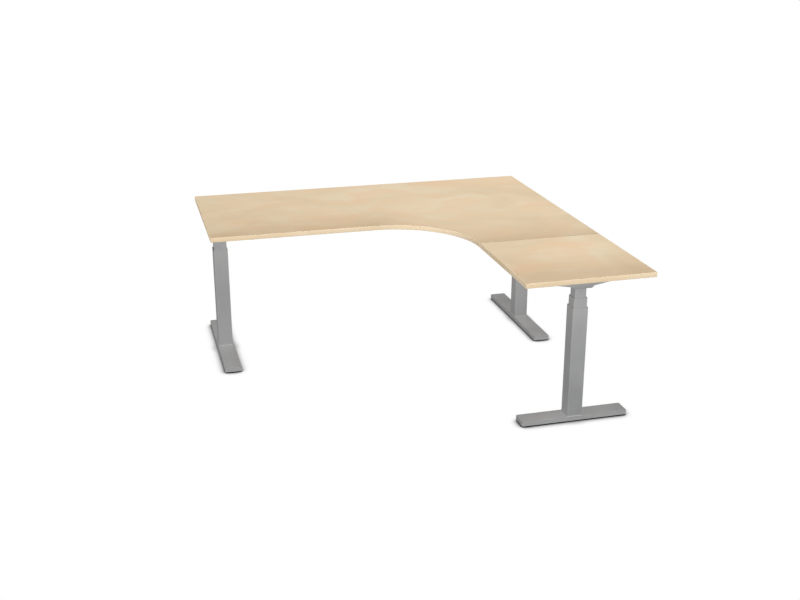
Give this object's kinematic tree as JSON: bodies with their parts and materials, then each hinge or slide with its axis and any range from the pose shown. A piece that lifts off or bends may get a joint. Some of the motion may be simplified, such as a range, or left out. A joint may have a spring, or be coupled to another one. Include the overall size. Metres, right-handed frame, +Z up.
{
  "type": "height adjustable standing desk",
  "caption": "L-shaped corner desk with a curved inner edge and a separate return panel, on three telescopic motor-driven columns with flat T feet, lifted together by a handset",
  "frame": {"origin": "on the floor, under the middle of the square that the top fills", "axes": "+Z up, +X to the right along the long back edge, +Y to the back edge, so the user's bay is at -X -Y"},
  "size_m": [1.8, 1.8, 0.72],
  "materials": {
    "laminate": "pale maple laminate on chipboard, satin, softly mottled",
    "edge_band": "pale wood-coloured edging strip",
    "silver_paint": "fine silver-grey powder coat",
    "cast_housing": "die-cast, silver-grey",
    "motor_paint": "black painted can",
    "zinc_steel": "zinc-plated",
    "black_plastic": "moulded, fine texture",
    "guide_plastic": "dark slide plastic",
    "button_plastic": "soft-touch key caps",
    "screen": "dark display window"
  },
  "bodies": {
    "base": {"foot_left": "silver_paint", "outer_tube_left": "silver_paint", "outer_guide_left": "guide_plastic", "nut_tube_left": "zinc_steel", "foot_corner": "silver_paint", "outer_tube_corner": "silver_paint", "outer_guide_corner": "guide_plastic", "nut_tube_corner": "zinc_steel", "foot_return": "silver_paint", "outer_tube_return": "silver_paint", "outer_guide_return": "guide_plastic", "nut_tube_return": "zinc_steel"},
    "middle_stage": {"middle_tube_left": "silver_paint", "middle_guide_left": "guide_plastic", "drive_tube_left": "zinc_steel", "middle_tube_corner": "silver_paint", "middle_guide_corner": "guide_plastic", "drive_tube_corner": "zinc_steel", "middle_tube_return": "silver_paint", "middle_guide_return": "guide_plastic", "drive_tube_return": "zinc_steel"},
    "top": {"inner_tube_left": "silver_paint", "gear_housing_left": "cast_housing", "motor_left": "motor_paint", "support_arm_left": "silver_paint", "inner_tube_corner": "silver_paint", "gear_housing_corner": "cast_housing", "motor_corner": "motor_paint", "support_arm_corner": "silver_paint", "inner_tube_return": "silver_paint", "gear_housing_return": "cast_housing", "motor_return": "motor_paint", "support_arm_return": "silver_paint", "main_rail_front": "silver_paint", "main_rail_back": "silver_paint", "return_rail_left": "silver_paint", "return_rail_right": "silver_paint", "desktop_main": "laminate", "desktop_return": "laminate", "edge_band_main": "edge_band", "edge_band_return": "edge_band", "joining_plate_1": "zinc_steel", "joining_plate_2": "zinc_steel", "control_box": "black_plastic", "handset_case": "black_plastic", "handset_window": "screen"},
    "spindle_left": {"spindle_left": "zinc_steel"},
    "spindle_corner": {"spindle_corner": "zinc_steel"},
    "spindle_return": {"spindle_return": "zinc_steel"},
    "glide_left_back": {"glide_left_back": "black_plastic"},
    "glide_left_front": {"glide_left_front": "black_plastic"},
    "glide_corner_front": {"glide_corner_front": "black_plastic"},
    "glide_corner_back": {"glide_corner_back": "black_plastic"},
    "glide_return_left": {"glide_return_left": "black_plastic"},
    "glide_return_right": {"glide_return_right": "black_plastic"},
    "button_up": {"button_up": "button_plastic"},
    "button_down": {"button_down": "button_plastic"},
    "button_memory_1": {"button_memory_1": "button_plastic"},
    "button_memory_2": {"button_memory_2": "button_plastic"}
  },
  "joints": [
    {"name": "lift", "type": "slide", "parent": "base", "child": "top", "axis": [0, 0, 1], "range_m": [-0.08, 0.57]},
    {"name": "middle_lift", "type": "slide", "parent": "base", "child": "middle_stage", "axis": [0, 0, 1], "range_m": [-0.04, 0.285]},
    {"name": "spindle_spin_left", "type": "hinge", "parent": "top", "child": "spindle_left", "pos_m": [-0.82, 0.5, 0.6], "axis": [0, 0, 1], "range_deg": [-2401, 17101]},
    {"name": "spindle_spin_corner", "type": "hinge", "parent": "top", "child": "spindle_corner", "pos_m": [0.82, 0.5, 0.6], "axis": [0, 0, 1], "range_deg": [-2401, 17101]},
    {"name": "spindle_spin_return", "type": "hinge", "parent": "top", "child": "spindle_return", "pos_m": [0.603, -0.754, 0.6], "axis": [0, 0, 1], "range_deg": [-2401, 17101]},
    {"name": "glide_height_left_back", "type": "slide", "parent": "base", "child": "glide_left_back", "axis": [0, 0, 1], "range_m": [-0.006, 0]},
    {"name": "glide_height_left_front", "type": "slide", "parent": "base", "child": "glide_left_front", "axis": [0, 0, 1], "range_m": [-0.006, 0]},
    {"name": "glide_height_corner_front", "type": "slide", "parent": "base", "child": "glide_corner_front", "axis": [0, 0, 1], "range_m": [-0.006, 0]},
    {"name": "glide_height_corner_back", "type": "slide", "parent": "base", "child": "glide_corner_back", "axis": [0, 0, 1], "range_m": [-0.006, 0]},
    {"name": "glide_height_return_left", "type": "slide", "parent": "base", "child": "glide_return_left", "axis": [0, 0, 1], "range_m": [-0.006, 0]},
    {"name": "glide_height_return_right", "type": "slide", "parent": "base", "child": "glide_return_right", "axis": [0, 0, 1], "range_m": [-0.006, 0]},
    {"name": "press_up", "type": "slide", "parent": "top", "child": "button_up", "axis": [0, 1, 0], "range_m": [0, 0.001], "stiffness_N_per_m": 600, "springref_m": -0.001},
    {"name": "press_down", "type": "slide", "parent": "top", "child": "button_down", "axis": [0, 1, 0], "range_m": [0, 0.001], "stiffness_N_per_m": 600, "springref_m": -0.001},
    {"name": "press_memory_1", "type": "slide", "parent": "top", "child": "button_memory_1", "axis": [0, 1, 0], "range_m": [0, 0.001], "stiffness_N_per_m": 600, "springref_m": -0.001},
    {"name": "press_memory_2", "type": "slide", "parent": "top", "child": "button_memory_2", "axis": [0, 1, 0], "range_m": [0, 0.001], "stiffness_N_per_m": 600, "springref_m": -0.001}
  ],
  "couplings": [
    {"joint": "middle_lift", "follows": "lift", "ratio": 0.5},
    {"joint": "spindle_spin_left", "follows": "lift", "rad_per_m": 523.6},
    {"joint": "spindle_spin_corner", "follows": "lift", "rad_per_m": 523.6},
    {"joint": "spindle_spin_return", "follows": "lift", "rad_per_m": 523.6}
  ]
}
